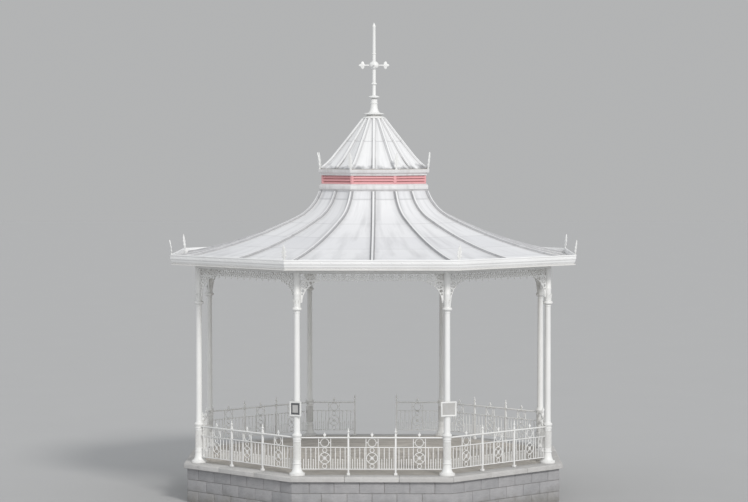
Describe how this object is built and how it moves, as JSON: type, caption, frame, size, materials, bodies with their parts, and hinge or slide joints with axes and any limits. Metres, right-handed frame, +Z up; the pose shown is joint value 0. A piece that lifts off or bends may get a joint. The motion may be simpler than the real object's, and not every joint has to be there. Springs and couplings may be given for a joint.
{
  "type": "park bandstand",
  "caption": "Octagonal park bandstand: stone plinth, white iron columns, railings and frieze, swept seamed roof with a louvred lantern, pointed cap roof and cross finial.",
  "frame": {"origin": "on the ground under the centre of the octagon, on the underside of the centre pier", "axes": "+Z up, -Y towards the front bay, +X to the right seen from the front"},
  "size_m": [8.816, 9.6459, 10.467],
  "materials": {
    "plinth_stone": "coursed dressed stone",
    "coping_stone": "rubbed stone",
    "pier_brick": "rough brickwork",
    "structural_timber": "sawn timber",
    "floor_boards": "worn boards",
    "white_cast_iron": "white oil paint",
    "white_boarding": "white oil paint",
    "roof_sheet": "pale grey sheet metal",
    "red_louvres": "red oil paint"
  },
  "bodies": {
    "root": {"plinth_wall": "plinth_stone", "plinth_coping": "coping_stone", "entrance_steps": "coping_stone", "centre_pier": "pier_brick", "floor_joists": "structural_timber", "stage_floor": "floor_boards", "column_1": "white_cast_iron", "column_2": "white_cast_iron", "column_3": "white_cast_iron", "column_4": "white_cast_iron", "column_5": "white_cast_iron", "column_6": "white_cast_iron", "column_7": "white_cast_iron", "column_8": "white_cast_iron", "railing_1": "white_cast_iron", "railing_2": "white_cast_iron", "railing_3": "white_cast_iron", "railing_4": "white_cast_iron", "railing_5": "white_cast_iron", "railing_6": "white_cast_iron", "railing_7": "white_cast_iron", "railing_8": "white_cast_iron", "frieze_1": "white_cast_iron", "frieze_2": "white_cast_iron", "frieze_3": "white_cast_iron", "frieze_4": "white_cast_iron", "frieze_5": "white_cast_iron", "frieze_6": "white_cast_iron", "frieze_7": "white_cast_iron", "frieze_8": "white_cast_iron", "eaves_beam": "white_cast_iron", "eaves_gutter": "white_cast_iron", "spandrel_brackets": "white_cast_iron", "lantern_sill": "white_cast_iron", "lantern_cornice": "white_cast_iron", "finial_spire": "white_cast_iron", "finial_arms": "white_cast_iron", "eaves_crests": "white_cast_iron", "lantern_crests": "white_cast_iron", "eaves_soffit": "white_boarding", "main_roof": "roof_sheet", "roof_rolls": "roof_sheet", "cap_roof": "roof_sheet", "cap_rolls": "roof_sheet", "roof_rafters": "structural_timber", "lantern_louvres": "red_louvres", "programme_boards": "white_boarding"}
  },
  "joints": []
}
